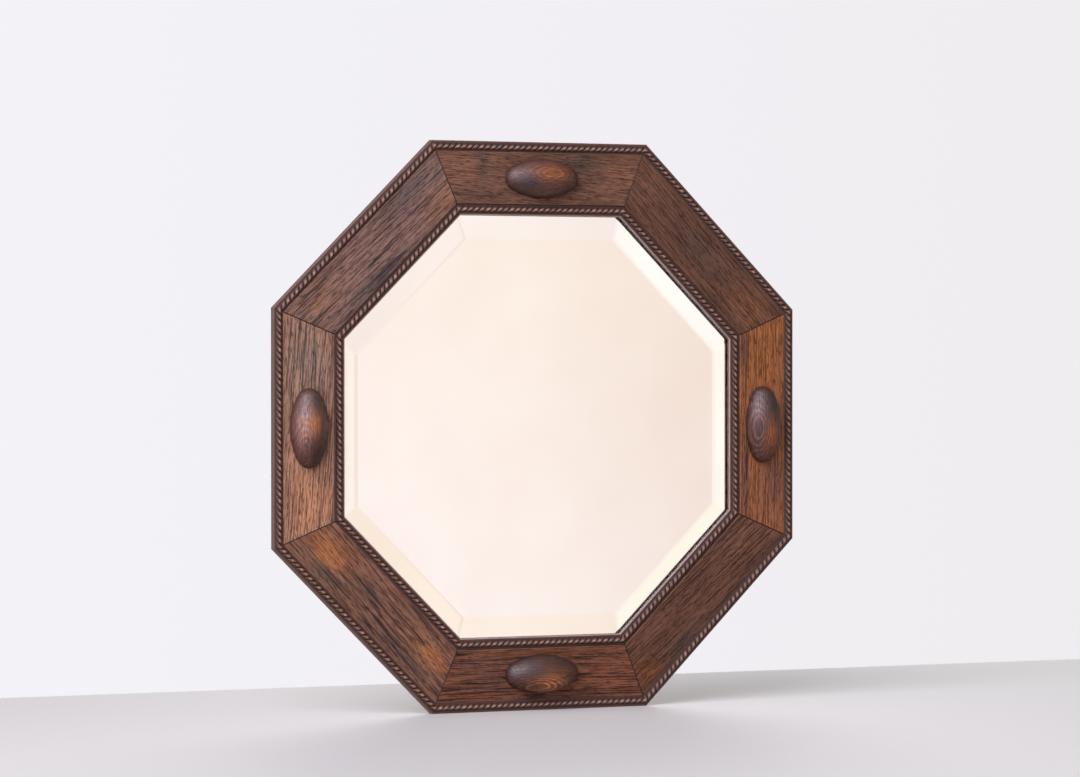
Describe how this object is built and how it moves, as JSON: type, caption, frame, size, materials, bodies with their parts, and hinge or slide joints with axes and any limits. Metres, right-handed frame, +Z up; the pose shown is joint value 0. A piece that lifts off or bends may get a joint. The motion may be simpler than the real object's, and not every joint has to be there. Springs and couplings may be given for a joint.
{
  "type": "wall mirror",
  "caption": "Octagonal wall mirror: bevelled glass in a dark oak frame with rope-twist beading round both edges, oval bosses on its rails and swinging hanging rings on the back.",
  "frame": {"origin": "centre of the octagon on the rear face of the backboard, which lies on the wall", "axes": "+Y into the wall, so the glass faces -Y; +Z up; +X to the viewer's right"},
  "size_m": [0.559, 0.0372, 0.559],
  "materials": {
    "rail_oak": "dark stained open-grained oak, waxed",
    "rope_oak": "dark stained oak, rubbed on the crowns",
    "boss_oak": "turned oak, dark stained and polished",
    "dowel_beech": "plain",
    "tongue_ply": "plain",
    "plate_glass": "polished plate with a ground and polished bevel",
    "silver_coat": "silvered, with backing paint behind",
    "packing_card": "plain",
    "back_ply": "plywood, unfinished and aged",
    "pin_steel": "dull",
    "hanger_brass": "aged"
  },
  "bodies": {
    "frame": {"rail_top": "rail_oak", "rail_upper_right": "rail_oak", "rail_right": "rail_oak", "rail_lower_right": "rail_oak", "rail_bottom": "rail_oak", "rail_lower_left": "rail_oak", "rail_left": "rail_oak", "rail_upper_left": "rail_oak", "outer_rope_top": "rope_oak", "outer_rope_upper_right": "rope_oak", "outer_rope_right": "rope_oak", "outer_rope_lower_right": "rope_oak", "outer_rope_bottom": "rope_oak", "outer_rope_lower_left": "rope_oak", "outer_rope_left": "rope_oak", "outer_rope_upper_left": "rope_oak", "inner_rope_top": "rope_oak", "inner_rope_upper_right": "rope_oak", "inner_rope_right": "rope_oak", "inner_rope_lower_right": "rope_oak", "inner_rope_bottom": "rope_oak", "inner_rope_lower_left": "rope_oak", "inner_rope_left": "rope_oak", "inner_rope_upper_left": "rope_oak", "boss_top": "boss_oak", "boss_right": "boss_oak", "boss_bottom": "boss_oak", "boss_left": "boss_oak", "boss_dowels": "dowel_beech", "mitre_tongues": "tongue_ply", "mirror_glass": "plate_glass", "silvering": "silver_coat", "packing_card": "packing_card", "backboard": "back_ply", "backboard_pins": "pin_steel", "hanger_strap_left": "hanger_brass", "hanger_strap_right": "hanger_brass", "hanger_screws": "hanger_brass"},
    "ring_left": {"hanger_ring_left": "hanger_brass"},
    "ring_right": {"hanger_ring_right": "hanger_brass"}
  },
  "joints": [
    {"name": "ring_left_swing", "type": "hinge", "parent": "frame", "child": "ring_left", "pos_m": [-0.25135, -0.00205, 0.07], "axis": [1, 0, 0], "range_deg": [0, 180]},
    {"name": "ring_right_swing", "type": "hinge", "parent": "frame", "child": "ring_right", "pos_m": [0.25135, -0.00205, 0.07], "axis": [1, 0, 0], "range_deg": [0, 180]}
  ]
}
